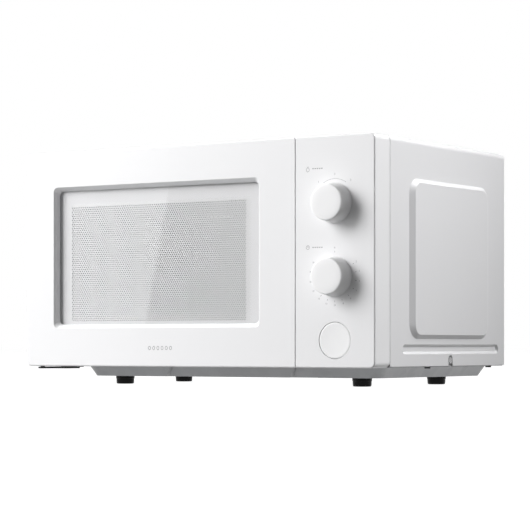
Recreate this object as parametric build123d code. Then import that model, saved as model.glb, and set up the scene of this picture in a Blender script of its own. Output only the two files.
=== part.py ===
from build123d import *
import math
import os

# Counter-top microwave oven with two dials and a push button that opens the door.
# Frame: the front faces -Y, +X is to the right as seen from the front, +Z is up,
# and the origin is under the middle of the object, on the surface that it stands on.
# All sizes are in millimetres.

# Overall sizes
WIDTH = 446.0  # across the door and control panel
HEIGHT = 254.5  # floor to the top of the case
BODY_DEPTH = 287.0  # front of the door to the back of the case
KNOB_PROUD = 17.5
SPACER_DEPTH = 22.0  # stand-offs behind the case
DOOR_BOTTOM = 19.5  # floor to the underside of the door
CASE_BOTTOM = 20.7
NOTCH_Y = 14.45  # screw notches in the sides
PAN_BOTTOM = 8.7  # underside of the base pan, which is also the height of the feet

LEFT = -WIDTH / 2
RIGHT = WIDTH / 2
FRONT = KNOB_PROUD - (KNOB_PROUD + BODY_DEPTH + SPACER_DEPTH) / 2
REAR = FRONT + BODY_DEPTH

# Sheet metal and mouldings
SHEET = 0.8
SKIN = 2.2  # plastic walls
FACE_CORNER = 6.0
FACE_EDGE = 1.5  # round on the outer edges of the face
SEAM_EDGE = 0.4
CASE_CORNER = 6.0

# Front: door on the left, control panel on the right of one thin seam
SEAM_X = LEFT + 352.6
SEAM_GAP = 1.0
DOOR_DEPTH = 28.0
PANEL_DEPTH = 30.0
CASE_FRONT = FRONT + 31.0  # leaves a thin seam behind the control panel
PLATE_Y = FRONT + 29.5
PLATE_BACK = PLATE_Y + 1.0
DOOR_RIGHT = SEAM_X - SEAM_GAP / 2
PANEL_LEFT = SEAM_X + SEAM_GAP / 2

# Window in the door
WINDOW_LEFT = LEFT + 38.6
WINDOW_RIGHT = LEFT + 309.0
WINDOW_BOTTOM = DOOR_BOTTOM + 41.4
WINDOW_TOP = DOOR_BOTTOM + 196.2
WINDOW_CORNER = 5.5
WINDOW_DEPTH = 6.0
PANE_THICK = 3.0
SCREEN_Y = FRONT + WINDOW_DEPTH + PANE_THICK + 1.6
WINDOW_TAPER = 4.2  # how far the recess narrows from its mouth to the pane

# Hinge
HINGE_X = LEFT + 8.0
HINGE_Y = FRONT + 19.0
HINGE_PIN_R = 2.5
BUSH_OUTER_R = 3.8
BOSS_R = 6.2  # bosses that hold the bushes, joined to the door's side wall
SWING_R = 7.9  # round on the door's back edge, so that it clears the case as it turns
UPPER_TAB_Z = 239.5
LOWER_TAB_Z = 16.6
TAB_THICK = 2.0

# Oven cavity and turntable
CAVITY_LEFT = -203.0
CAVITY_RIGHT = 103.0
CAVITY_FLOOR = 35.0
CAVITY_TOP = 240.0
CAVITY_BACK = FRONT + 282.2
TABLE_X = (CAVITY_LEFT + CAVITY_RIGHT) / 2
TABLE_Y = (PLATE_BACK + CAVITY_BACK) / 2
TRAY_R = 122.5
ROLLER_R = 7.4
ROLLER_PATH_R = 91.0
ROLLER_COUNT = 3
ROLL_GAP = 0.3
ROLLER_Z = CAVITY_FLOOR + ROLL_GAP + ROLLER_R
TRAY_Z = ROLLER_Z + ROLLER_R + ROLL_GAP

# Controls, all on one upright line
DIAL_X = LEFT + 399.4
POWER_Z = DOOR_BOTTOM + 166.3
TIMER_Z = DOOR_BOTTOM + 92.2
BUTTON_Z = DOOR_BOTTOM + 27.8
KNOB_BASE_R = 20.5
KNOB_FACE_R = 18.4
KNOB_GAP = 0.8
SHAFT_R = 3.0
BUTTON_R = 18.3
BUTTON_BORE_R = 18.75

# Door latch
HOOK_X = 117.0
HOOK_Z = 62.0
HOOK_SPACING = 138.0
HOOK_TIP_Y = FRONT + 48.0
LEVER_Y = FRONT + 36.0
LEVER_Z = 54.0

# Base pan
PAN_LEFT = LEFT + 62.0
PAN_RIGHT = LEFT + 425.0
PAN_FRONT = FRONT + 40.0
PAN_REAR = FRONT + 273.0
PAN_FLARE = 8.0
PAN_CORNER = 12.0
PAN_INSIDE = PAN_BOTTOM + 1.0
FOOT_TIP_R = 10.2
FOOT_ROOT_R = 10.8

# Shapes pressed into both sides of the case, measured from the front and from the underside of the door
EMBOSS_FRONT = 70.2
EMBOSS_REAR = 247.4
EMBOSS_LOW = 29.6
EMBOSS_HIGH = 194.3
EMBOSS_PROUD = 3.5
EMBOSS_SLOPE_Y = 7.5  # width of the sloping edge at its front and rear
EMBOSS_SLOPE_Z = 4.2  # and along its top and bottom
GROOVE_FRONT = 56.7
GROOVE_REAR = 272.0
GROOVE_LOW = 13.7
GROOVE_HIGH = 23.7
GROOVE_DEEP = 2.2

# Equipment compartment, to the right of the cavity
FAN_X = 165.0
FAN_Z = 150.0
MAGNETRON_Y = FRONT + 167.0
MAGNETRON_Z = 153.0
LAMP_Y = FRONT + 245.0
LAMP_Z = 221.0
CORE_LEFT = 112.0
CORE_RIGHT = 196.0
GROMMET_X = 188.0
GROMMET_Z = 52.0


def block(x0, x1, y0, y1, z0, z1):
    """A box between two corners."""
    centre = Pos((x0 + x1) / 2, (y0 + y1) / 2, (z0 + z1) / 2)
    return centre * Box(x1 - x0, y1 - y0, z1 - z0)


def rod_x(x0, x1, y, z, radius):
    """A cylinder along X."""
    return Pos((x0 + x1) / 2, y, z) * Rot(0, 90, 0) * Cylinder(radius, x1 - x0)


def rod_y(x, y0, y1, z, radius):
    """A cylinder along Y."""
    return Pos(x, (y0 + y1) / 2, z) * Rot(90, 0, 0) * Cylinder(radius, y1 - y0)


def rod_z(x, y, z0, z1, radius):
    """A cylinder along Z."""
    return Pos(x, y, (z0 + z1) / 2) * Cylinder(radius, z1 - z0)


def edges_at(shape, axis, **places):
    """Straight edges along an axis whose middles lie at the given places."""
    found = []
    for edge in shape.edges().filter_by(axis):
        middle = edge.center()
        if all(abs(getattr(middle, name) - value) < 0.05 for name, value in places.items()):
            found.append(edge)
    return found


def edges_on_plane(shape, y):
    """Edges that lie wholly in one plane of constant Y."""
    found = []
    for edge in shape.edges():
        box = edge.bounding_box()
        if abs(box.min.Y - y) < 0.05 and abs(box.max.Y - y) < 0.05:
            found.append(edge)
    return found


def plate_xz(x0, x1, z0, z1, y0, y1, corner):
    """An upright plate facing the front, with rounded corners."""
    face = Pos((x0 + x1) / 2, y1, (z0 + z1) / 2) * Rot(90, 0, 0) * RectangleRounded(x1 - x0, z1 - z0, corner)
    return extrude(face, y1 - y0)


def plate_xy(x0, x1, y0, y1, z0, z1, corner):
    """A level plate with rounded corners."""
    face = Pos((x0 + x1) / 2, (y0 + y1) / 2, z0) * RectangleRounded(x1 - x0, y1 - y0, corner)
    return extrude(face, z1 - z0)


def moulded_face(x0, x1, depth, soft_side):
    """A moulding that fills the front from x0 to x1, rounded on its outer side, and its hollow."""
    hard_side = x1 if soft_side == x0 else x0
    body = block(x0, x1, FRONT, FRONT + depth, DOOR_BOTTOM, HEIGHT)
    body = fillet(edges_at(body, Axis.Y, X=soft_side), FACE_CORNER)
    outer_edges = [edge for edge in edges_on_plane(body, FRONT) if abs(edge.center().X - hard_side) > 0.05]
    body = fillet(outer_edges, FACE_EDGE)
    body = fillet(edges_at(body, Axis.Z, X=hard_side, Y=FRONT), SEAM_EDGE)
    pocket = block(x0 + SKIN, x1 - SKIN, FRONT + 3, FRONT + depth + 1, DOOR_BOTTOM + SKIN, HEIGHT - SKIN)
    return body, pocket


# ---------------------------------------------------------------- casing


def side_emboss(side, inset):
    """The raised field pressed outwards into one side of the case."""
    y_mid = FRONT + (EMBOSS_FRONT + EMBOSS_REAR) / 2
    z_mid = DOOR_BOTTOM + (EMBOSS_LOW + EMBOSS_HIGH) / 2
    y_size = EMBOSS_REAR - EMBOSS_FRONT
    z_size = EMBOSS_HIGH - EMBOSS_LOW
    plane = Plane(origin=(side * (RIGHT - inset), y_mid, z_mid), x_dir=(0, 1, 0), z_dir=(side, 0, 0))
    foot = plane * RectangleRounded(y_size, z_size, 17)
    crown = RectangleRounded(y_size - 2 * EMBOSS_SLOPE_Y, z_size - 2 * EMBOSS_SLOPE_Z, 11)
    return loft([foot, plane.offset(EMBOSS_PROUD) * crown])


def side_groove(side, inset):
    """The stiffening groove pressed inwards below the raised field."""
    y_mid = FRONT + (GROOVE_FRONT + GROOVE_REAR) / 2
    z_mid = DOOR_BOTTOM + (GROOVE_LOW + GROOVE_HIGH) / 2
    y_size = GROOVE_REAR - GROOVE_FRONT
    z_size = GROOVE_HIGH - GROOVE_LOW
    plane = Plane(origin=(side * (RIGHT - inset), y_mid, z_mid), x_dir=(0, 1, 0), z_dir=(-side, 0, 0))
    mouth = plane * RectangleRounded(y_size, z_size, 4.5)
    floor = plane.offset(GROOVE_DEEP) * RectangleRounded(y_size - 5.0, z_size - 5.4, 2.0)
    return loft([mouth, floor])


def make_outer_case():
    """Wrap-round steel case: top and both sides in one folded sheet."""
    y0 = CASE_FRONT
    outer = block(LEFT, RIGHT, y0, REAR, CASE_BOTTOM, HEIGHT)
    outer = fillet(edges_at(outer, Axis.Y, Z=HEIGHT), CASE_CORNER)
    inner = block(LEFT + SHEET, RIGHT - SHEET, y0 - 1, REAR + 1, CASE_BOTTOM - 1, HEIGHT - SHEET)
    inner = fillet(edges_at(inner, Axis.Y, Z=HEIGHT - SHEET), CASE_CORNER - SHEET)
    case = outer - inner
    for side in (-1, 1):
        case = case + side_emboss(side, 0) - side_emboss(side, SHEET)
        case = case + side_groove(side, SHEET) - side_groove(side, 0)
        inward = sorted((side * (RIGHT - 0.4), side * (RIGHT - 12)))
        case = case + block(inward[0], inward[1], y0, REAR - 2, CASE_BOTTOM, CASE_BOTTOM + SHEET)
        across = sorted((side * (RIGHT + 1), side * (RIGHT - 4)))
        case = case - block(across[0], across[1], NOTCH_Y - 4.6, NOTCH_Y + 4.6, CASE_BOTTOM - 1, 27.4)
        case = case - rod_x(across[0], across[1], NOTCH_Y, 27.4, 4.6)
    return case


def pan_form(lift, grow):
    """Solid form of the pressed pan under the base, widening upwards."""
    x_mid = (PAN_LEFT + PAN_RIGHT) / 2
    y_mid = (PAN_FRONT + PAN_REAR) / 2
    x_size = PAN_RIGHT - PAN_LEFT
    y_size = PAN_REAR - PAN_FRONT
    low = Pos(x_mid, y_mid, PAN_BOTTOM + lift) * RectangleRounded(x_size, y_size, PAN_CORNER)
    top = CASE_BOTTOM - SHEET + grow
    high = Pos(x_mid, y_mid, top + lift) * RectangleRounded(
        x_size + 2 * PAN_FLARE, y_size + 2 * PAN_FLARE, PAN_CORNER + PAN_FLARE
    )
    form = loft([low, high])
    for rib_x in (LEFT + 180, LEFT + 338):
        wide = Pos(rib_x, PAN_FRONT + 1, PAN_BOTTOM + lift - 0.5) * Rectangle(36, 12)
        narrow = Pos(rib_x, PAN_FRONT - PAN_FLARE - 1, top + lift) * Rectangle(12, 10)
        form = form - loft([wide, narrow])
    return form


def make_base_plate():
    """Galvanised base: a flat flange with a pressed pan that stands the oven off its feet."""
    flange = block(LEFT + 1.2, RIGHT - 1.2, PLATE_BACK + 0.3, REAR - 1.8, CASE_BOTTOM - SHEET, CASE_BOTTOM)
    shell = pan_form(0, 0) - pan_form(1.0, 0)
    hole = plate_xy(
        PAN_LEFT - PAN_FLARE + 1,
        PAN_RIGHT + PAN_FLARE - 1,
        PAN_FRONT - PAN_FLARE + 2,
        PAN_REAR + PAN_FLARE - 1,
        CASE_BOTTOM - 2,
        CASE_BOTTOM + 1,
        PAN_CORNER + PAN_FLARE - 1,
    )
    plate = flange - hole + shell
    for row in range(5):
        slot_x = 120 + row * 14
        plate = plate - plate_xy(slot_x - 2, slot_x + 2, FRONT + 60, FRONT + 96, 5, 14, 1.9)
    for side in (-1, 1):
        span = sorted((side * (RIGHT - 1.6), side * (RIGHT - 2.8)))
        plate = plate + block(span[0], span[1], NOTCH_Y - 4.2, NOTCH_Y + 4.2, CASE_BOTTOM - SHEET, 32)
    return plate


def foot_places():
    return (
        (LEFT + 98, FRONT + 52),
        (LEFT + 73, FRONT + 200),
        (LEFT + 401, FRONT + 52),
        (LEFT + 405, FRONT + 205),
    )


def make_rubber_feet():
    """Four rubber feet, each a short stub with a hollow underside."""
    feet = []
    for x, y in foot_places():
        stub = Cone(FOOT_TIP_R, FOOT_ROOT_R, PAN_BOTTOM, align=(Align.CENTER, Align.CENTER, Align.MIN))
        foot = Pos(x, y, 0) * stub
        foot = fillet(foot.edges().filter_by(GeomType.CIRCLE).sort_by(Axis.Z)[0], 1.0)
        feet.append(foot - rod_z(x, y, -1, 3.2, 4.0))
    return Compound(feet)


def make_rear_panel():
    """Flat steel back with two fields of vent slots and the lead's hole."""
    y0 = REAR - 1.6
    panel = block(LEFT + 1.2, RIGHT - 1.2, y0, y0 + SHEET, CASE_BOTTOM + 1.2, HEIGHT - 1.2)
    panel = fillet(edges_at(panel, Axis.Y, Z=HEIGHT - 1.2), CASE_CORNER)
    for row in range(7):
        z = 112 + row * 12
        panel = panel - plate_xz(FAN_X - 38, FAN_X - 3, z, z + 4.5, y0 - 1, y0 + 2, 2.2)
        panel = panel - plate_xz(FAN_X + 3, FAN_X + 38, z, z + 4.5, y0 - 1, y0 + 2, 2.2)
    for row in range(4):
        z = 196 + row * 10
        panel = panel - plate_xz(-180, -130, z, z + 4, y0 - 1, y0 + 2, 1.9)
    return panel - rod_y(GROMMET_X, y0 - 1, y0 + 2, GROMMET_Z, 8.0)


def make_rear_spacers():
    """Two hollow stand-offs that keep the vents off the wall."""
    spacers = []
    for x in (-120, 70):
        y0 = REAR - 0.8
        body = plate_xz(x - 22, x + 22, 198, 226, y0, REAR + SPACER_DEPTH, 5)
        body = fillet(edges_on_plane(body, REAR + SPACER_DEPTH), 3)
        body = body - plate_xz(x - 19.5, x + 19.5, 200.5, 223.5, y0 - 1, REAR + SPACER_DEPTH - 3, 3.5)
        spacers.append(body)
    return Compound(spacers)


# ---------------------------------------------------------------- cavity and front plate


def make_oven_cavity():
    """Welded steel box, open at the front, with its waveguide, lamp and exhaust openings."""
    t = SHEET
    outer = block(
        CAVITY_LEFT - t, CAVITY_RIGHT + t, PLATE_BACK, CAVITY_BACK + t, CAVITY_FLOOR - t, CAVITY_TOP + t
    )
    outer = fillet(edges_at(outer, Axis.X, Y=CAVITY_BACK + t), 10.8)
    inner = block(CAVITY_LEFT, CAVITY_RIGHT, PLATE_BACK - 1, CAVITY_BACK, CAVITY_FLOOR, CAVITY_TOP)
    inner = fillet(edges_at(inner, Axis.X, Y=CAVITY_BACK), 10)
    box = outer - inner
    right_wall = (CAVITY_RIGHT - 1, CAVITY_RIGHT + 2)
    box = box - block(*right_wall, MAGNETRON_Y - 32, MAGNETRON_Y + 30, MAGNETRON_Z - 20, MAGNETRON_Z + 20)
    for row in range(4):
        for column in range(5):
            hole_y = FRONT + 232 + column * 6
            hole_z = 206 + row * 6
            box = box - rod_x(*right_wall, hole_y, hole_z, 1.7)
    for row in range(5):
        for column in range(9):
            hole_x = -180 + column * 6
            hole_z = 198 + row * 6
            box = box - rod_y(hole_x, CAVITY_BACK - 2, CAVITY_BACK + 2, hole_z, 1.7)
    return box - rod_z(TABLE_X, TABLE_Y, CAVITY_FLOOR - 2, CAVITY_FLOOR + 1, 6.0)


def hook_slots():
    """The two windows that the latch hooks pass through."""
    y0 = PLATE_Y - 5
    slots = []
    for step in range(2):
        z = HOOK_Z + step * HOOK_SPACING
        slots.append(block(HOOK_X - 7.5, HOOK_X + 6, y0, PLATE_BACK + 1, z - 6, z + 13))
    return slots


def make_front_plate():
    """Steel frame round the mouth of the cavity; the door closes on it and the controls pass through it."""
    plate = block(LEFT + 1.4, RIGHT - 2.6, PLATE_Y, PLATE_BACK, 22.0, 252.0)
    plate = plate - plate_xz(
        CAVITY_LEFT, CAVITY_RIGHT, CAVITY_FLOOR, CAVITY_TOP, PLATE_Y - 1, PLATE_BACK + 1, 1.5
    )
    plate = plate - plate_xz(142, 214, 32, 240, PLATE_Y - 1, PLATE_BACK + 1, 6)
    for slot in hook_slots():
        plate = plate - slot
    return plate


# ---------------------------------------------------------------- door


def window_cutter():
    """The recess in the door face: a short bevel, then a nearly straight wall down to the pane."""

    def outline(depth, inset):
        middle = Pos((WINDOW_LEFT + WINDOW_RIGHT) / 2, FRONT + depth, (WINDOW_BOTTOM + WINDOW_TOP) / 2)
        width = WINDOW_RIGHT - WINDOW_LEFT - 2 * inset
        height = WINDOW_TOP - WINDOW_BOTTOM - 2 * inset
        return middle * Rot(90, 0, 0) * RectangleRounded(width, height, WINDOW_CORNER)

    bevel = loft([outline(-0.001, 0), outline(3.0, WINDOW_TAPER * 0.62)])
    wall = loft([outline(3.0, WINDOW_TAPER * 0.62), outline(WINDOW_DEPTH + 0.01, WINDOW_TAPER)])
    return bevel + wall


def make_door_frame():
    """Moulded door frame with a recessed window and bosses for the hinge bushes."""
    body, pocket = moulded_face(LEFT, DOOR_RIGHT, DOOR_DEPTH, LEFT)
    back = FRONT + DOOR_DEPTH
    swing_corner = block(LEFT - 1, LEFT + SWING_R, back - SWING_R, back + 1, DOOR_BOTTOM - 1, HEIGHT + 1)
    swing_corner = swing_corner - rod_z(LEFT + SWING_R, back - SWING_R, DOOR_BOTTOM - 2, HEIGHT + 2, SWING_R)
    frame = body - pocket - swing_corner
    collar = block(
        WINDOW_LEFT - 4, WINDOW_RIGHT + 4, FRONT + 1.5, FRONT + WINDOW_DEPTH, WINDOW_BOTTOM - 4, WINDOW_TOP + 4
    )
    frame = frame + collar - window_cutter()
    upper_boss = rod_z(HINGE_X, HINGE_Y, 244.5, HEIGHT - 1, BOSS_R)
    lower_boss = rod_z(HINGE_X, HINGE_Y, DOOR_BOTTOM + 1, 31.5, BOSS_R)
    frame = frame + upper_boss + lower_boss
    frame = frame - rod_z(HINGE_X, HINGE_Y, 244, 252.0, BUSH_OUTER_R)
    frame = frame - rod_z(HINGE_X, HINGE_Y, DOOR_BOTTOM - 1, 32, BUSH_OUTER_R)
    slot = block(LEFT - 1, LEFT + 24, FRONT + 11, FRONT + DOOR_DEPTH + 1, 237.0, 244.5)
    frame = frame - slot
    for step in range(2):
        z = HOOK_Z + step * HOOK_SPACING
        guide = block(HOOK_X + 6, DOOR_RIGHT - 1, FRONT + 14, FRONT + 24, z + 24, z + 26)
        frame = frame + guide
    seat = block(HOOK_X - 6, DOOR_RIGHT - 1, FRONT + 2, FRONT + 24, 238.0, 240.0)
    return frame + seat


def make_hinge_bushes():
    """Two plain bushes pressed into the door's bosses."""
    bore = HINGE_PIN_R + 0.05
    upper = rod_z(HINGE_X, HINGE_Y, 244.5, 251.5, BUSH_OUTER_R) - rod_z(HINGE_X, HINGE_Y, 244, 252, bore)
    lower = rod_z(HINGE_X, HINGE_Y, DOOR_BOTTOM + 0.2, 31, BUSH_OUTER_R)
    lower = lower - rod_z(HINGE_X, HINGE_Y, 19, 32, bore)
    return Compound([upper, lower])


def make_window_pane():
    """Clear pane held behind the lip of the window recess."""
    y0 = FRONT + WINDOW_DEPTH
    return plate_xz(
        WINDOW_LEFT - 3, WINDOW_RIGHT + 3, WINDOW_BOTTOM - 3, WINDOW_TOP + 3, y0, y0 + PANE_THICK, WINDOW_CORNER
    )


def make_door_screen():
    """Steel screen behind the pane, with the walls of the choke channel folded back from it."""
    y0 = SCREEN_Y
    x0, x1, z0, z1 = LEFT + 19.0, 107.0, 26.0, 249.0
    sheet = block(x0, x1, y0, y0 + SHEET, z0, z1)
    rim = block(x0, x1, y0, FRONT + 25, z0, z1) - block(
        x0 + SHEET, x1 - SHEET, y0 - 1, FRONT + 26, z0 + SHEET, z1 - SHEET
    )
    a0, a1, b0, b1 = LEFT + 33.0, 92.0, 56.0, 221.0
    wall = block(a0, a1, y0, FRONT + 24, b0, b1) - block(
        a0 + SHEET, a1 - SHEET, y0 - 1, FRONT + 25, b0 + SHEET, b1 - SHEET
    )
    return sheet + rim + wall


def make_inner_film():
    """Thin clear sheet that closes the screen on the cavity side."""
    return plate_xz(LEFT + 30, 95, 53, 224, FRONT + 25.1, FRONT + 25.6, 4)


def make_choke_cover():
    """Moulded cover over the choke channel, open at the film, with windows for the hinge tab and hooks."""
    y0 = FRONT + 25.8
    y1 = FRONT + 27.4
    cover = block(LEFT + 5.4, DOOR_RIGHT - SKIN - 0.3, y0, y1, DOOR_BOTTOM + SKIN + 0.3, HEIGHT - SKIN - 0.3)
    cover = cover - plate_xz(LEFT + 36, 89, 59, 218, y0 - 1, y1 + 1, 4)
    cover = cover - block(LEFT, LEFT + 24.5, y0 - 1, y1 + 1, 236.5, 245)
    for slot in hook_slots():
        cover = cover - slot
    return cover


def make_latch_bar():
    """Sliding bar in the door with two hooks; it lifts to let the door go."""
    bar = block(HOOK_X - 2, HOOK_X + 2, FRONT + 14.5, FRONT + 24, HOOK_Z - 8, 224)
    for step in range(2):
        z = HOOK_Z + step * HOOK_SPACING
        arm = block(HOOK_X - 2, HOOK_X + 2, FRONT + 22, HOOK_TIP_Y, z, z + 8)
        barb = block(HOOK_X - 6.5, HOOK_X + 2, HOOK_TIP_Y - 4.8, HOOK_TIP_Y, z - 4, z + 4)
        bar = bar + arm + barb
    bar = fillet(edges_at(bar, Axis.X, Y=HOOK_TIP_Y, Z=HOOK_Z + 8), 3)
    return fillet(edges_at(bar, Axis.X, Y=HOOK_TIP_Y, Z=HOOK_Z + HOOK_SPACING + 8), 3)


def coil(radius, wire, height, turns):
    """A round-wire coil along Z from the origin up, made of one swept helix."""
    path = Helix(pitch=height / turns, height=height, radius=radius)
    start = path @ 0
    section = Plane(origin=start, z_dir=path % 0) * Circle(wire / 2)
    return sweep(section, path=path)


def make_latch_spring():
    """Compression spring that holds the latch bar down."""
    return Pos(HOOK_X, FRONT + 19.2, 224.8) * coil(2.6, 0.8, 12.4, 6)


# ---------------------------------------------------------------- controls


def make_control_panel():
    """Moulded fascia with a deep return, holes for the two dial shafts and a guide for the button."""
    body, pocket = moulded_face(PANEL_LEFT, RIGHT, PANEL_DEPTH, RIGHT)
    panel = body - pocket
    clear = block(PANEL_LEFT - 1, PANEL_LEFT + 4, FRONT + 28.5, FRONT + 32, DOOR_BOTTOM + SKIN, HEIGHT - SKIN)
    panel = panel - clear
    guide = rod_y(DIAL_X, FRONT + 1, FRONT + 14, BUTTON_Z, BUTTON_BORE_R + 2)
    panel = panel + guide - rod_y(DIAL_X, FRONT - 1, FRONT + 15, BUTTON_Z, BUTTON_BORE_R)
    for z in (POWER_Z, TIMER_Z):
        panel = panel - rod_y(DIAL_X, FRONT - 1, FRONT + 4, z, SHAFT_R + 0.8)
    for x in (DIAL_X - 34, DIAL_X + 34):
        for z in (POWER_Z + 40, TIMER_Z - 22):
            panel = panel + rod_y(x, FRONT + 1, FRONT + 4.8, z, 3.5)
    return panel


def make_control_bracket():
    """Steel plate behind the fascia that carries the timer and the power selector."""
    y0 = FRONT + 4.8
    bracket = block(DIAL_X - 38, DIAL_X + 38, y0, y0 + 1.0, TIMER_Z - 26, POWER_Z + 44)
    for z in (POWER_Z, TIMER_Z):
        bracket = bracket - rod_y(DIAL_X, y0 - 1, y0 + 2, z, 6)
    return bracket


def make_knob(z):
    """Dial knob: a slightly tapered drum, hollow behind, with a sunk pointer at twelve o'clock."""
    drum = Pos(DIAL_X, FRONT - KNOB_GAP, z) * Rot(90, 0, 0) * Cone(
        KNOB_BASE_R, KNOB_FACE_R, KNOB_PROUD - KNOB_GAP, align=(Align.CENTER, Align.CENTER, Align.MIN)
    )
    drum = fillet(edges_on_plane(drum, FRONT - KNOB_PROUD), 1.2)
    hollow = rod_y(DIAL_X, FRONT - KNOB_PROUD + 3, FRONT, z, 16.0)
    boss = rod_y(DIAL_X, FRONT - KNOB_PROUD + 2, FRONT - KNOB_GAP, z, 6.0)
    drum = drum - hollow + boss
    pointer = plate_xz(
        DIAL_X - 0.9, DIAL_X + 0.9, z + 12.3, z + 16.9, FRONT - KNOB_PROUD - 1, FRONT - KNOB_PROUD + 0.6, 0.8
    )
    return drum - pointer - rod_y(DIAL_X, FRONT - KNOB_PROUD + 4, FRONT, z, SHAFT_R)


def make_shaft(z):
    """Steel shaft from inside a knob into its mechanism."""
    return rod_y(DIAL_X, FRONT - KNOB_PROUD + 4, FRONT + 26, z, SHAFT_R)


def make_timer_mechanism():
    """Closed clockwork housing with switch terminals on its back."""
    y0 = FRONT + 5.8
    body = block(DIAL_X - 26, DIAL_X + 26, y0, y0 + 28, TIMER_Z - 24, TIMER_Z + 26)
    body = fillet(body.edges().filter_by(Axis.Y), 5)
    for step in range(4):
        x = DIAL_X - 20 + step * 8
        body = body + block(x - 3, x + 3, y0 + 27, y0 + 35, TIMER_Z + 16, TIMER_Z + 16.8)
    return body - rod_y(DIAL_X, y0 - 1, FRONT + 27, TIMER_Z, SHAFT_R + 0.05)


def make_timer_bell():
    """Pressed bell on the back of the timer."""
    y0 = FRONT + 34.0
    cup = rod_y(DIAL_X, y0, y0 + 9, TIMER_Z - 6, 17)
    cup = fillet(edges_on_plane(cup, y0 + 9), 4)
    inside = rod_y(DIAL_X, y0 - 1, y0 + 8, TIMER_Z - 6, 16)
    inside = fillet(edges_on_plane(inside, y0 + 8), 3.2)
    post = rod_y(DIAL_X, y0, y0 + 8.5, TIMER_Z - 6, 2)
    return cup - inside + post


def make_power_selector():
    """Cam switch housing behind the upper dial."""
    y0 = FRONT + 5.8
    body = block(DIAL_X - 22, DIAL_X + 22, y0, y0 + 22, POWER_Z - 20, POWER_Z + 22)
    body = fillet(body.edges().filter_by(Axis.Y), 4)
    for step in range(3):
        x = DIAL_X - 12 + step * 10
        body = body + block(x - 3, x + 3, y0 + 21, y0 + 29, POWER_Z + 14, POWER_Z + 14.8)
    return body - rod_y(DIAL_X, y0 - 1, FRONT + 27, POWER_Z, SHAFT_R + 0.05)


def make_door_button():
    """Round push button: a dished cap on a skirt, with a stem that works the release lever."""
    cap = rod_y(DIAL_X, FRONT + 0.2, FRONT + 12, BUTTON_Z, BUTTON_R)
    cap = fillet(edges_on_plane(cap, FRONT + 0.2), 0.5)
    cap = cap - rod_y(DIAL_X, FRONT + 3, FRONT + 13, BUTTON_Z, BUTTON_R - 2)
    stem = block(DIAL_X - 5, DIAL_X + 5, FRONT + 2, FRONT + 23.6, 38.5, 51.5)
    return cap + stem


def make_release_lever():
    """Rocker that turns the push of the button into the lift of the hooks."""
    shaft = rod_x(HOOK_X - 6.5, DIAL_X - 9, LEVER_Y, LEVER_Z, 2.9)
    hub = rod_x(DIAL_X - 13, DIAL_X - 9, LEVER_Y, LEVER_Z, 5)
    cheek = block(DIAL_X - 13, DIAL_X - 9, FRONT + 24, LEVER_Y, 39, 57)
    pad = block(DIAL_X - 13, DIAL_X + 4, FRONT + 24, FRONT + 26.5, 39, 43.6)
    finger = block(HOOK_X - 6.5, HOOK_X - 2.5, LEVER_Y, HOOK_TIP_Y - 2, 53.4, 57.6)
    return shaft + hub + cheek + pad + finger


def make_lever_spring():
    """Torsion spring round the lever's shaft."""
    place = Pos(138, LEVER_Y, LEVER_Z) * Rot(0, 90, 0)
    return place * coil(3.9, 0.9, 9, 6)


def make_interlock_holder():
    """Moulded carrier for the catches, the lever and the door switches."""
    web = block(124.5, 127.5, PLATE_BACK, FRONT + 62, 42, 232)
    lower_foot = block(106, 127.5, PLATE_BACK, PLATE_BACK + 2, 42, 50)
    upper_foot = block(106, 127.5, PLATE_BACK, PLATE_BACK + 2, 222, 232)
    holder = web + lower_foot + upper_foot
    for step in range(2):
        z = HOOK_Z + step * HOOK_SPACING
        holder = holder + block(HOOK_X - 1.5, 125, FRONT + 39.4, FRONT + 42.4, z - 10, z - 1.6)
    rail = block(127, 161, FRONT + 40.5, FRONT + 43.5, 42, 48)
    lug = block(158, 161, FRONT + 31.5, FRONT + 43.5, 42, 60)
    holder = holder + rail + lug
    return holder - rod_x(120, 162, LEVER_Y, LEVER_Z, 2.96)


def make_interlock_switches():
    """Three snap switches on the carrier, each with its terminals."""
    switches = []
    for z in (76, 104, 186):
        body = block(110, 124.3, FRONT + 52, FRONT + 61, z, z + 20)
        tag = block(115, 119, FRONT + 61, FRONT + 67, z + 9, z + 9.8)
        button = rod_y(117, FRONT + 50.6, FRONT + 52, z + 5, 1.5)
        switches.append(body + tag + button)
    return Compound(switches)


# ---------------------------------------------------------------- hinges and fasteners


def make_hinge(tab_z, pin_low, pin_high, plate_low, plate_high):
    """Hinge bracket: a plate on the front plate, a level tab over or under the door, and a fixed pin."""
    tab = block(HINGE_X - 5, HINGE_X + 5, HINGE_Y, PLATE_Y, tab_z, tab_z + TAB_THICK)
    nose = rod_z(HINGE_X, HINGE_Y, tab_z, tab_z + TAB_THICK, 5)
    pin = rod_z(HINGE_X, HINGE_Y, pin_low, pin_high, HINGE_PIN_R)
    plate = block(HINGE_X - 5, HINGE_X + 11, PLATE_Y - 1.2, PLATE_Y, plate_low, plate_high)
    return tab + nose + pin + plate


def make_upper_hinge():
    return make_hinge(UPPER_TAB_Z, UPPER_TAB_Z, 251.0, UPPER_TAB_Z, 243.5)


def make_lower_hinge():
    hinge = make_hinge(LOWER_TAB_Z, LOWER_TAB_Z, 30.0, LOWER_TAB_Z, 18.6)
    strap = block(HINGE_X - 5, HINGE_X + 26, PLATE_Y - 1.2, PLATE_BACK + 22, LOWER_TAB_Z, 18.6)
    riser = block(HINGE_X + 12, HINGE_X + 24, PLATE_BACK + 6, PLATE_BACK + 20, 18, CASE_BOTTOM - SHEET)
    return hinge + strap + riser


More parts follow.
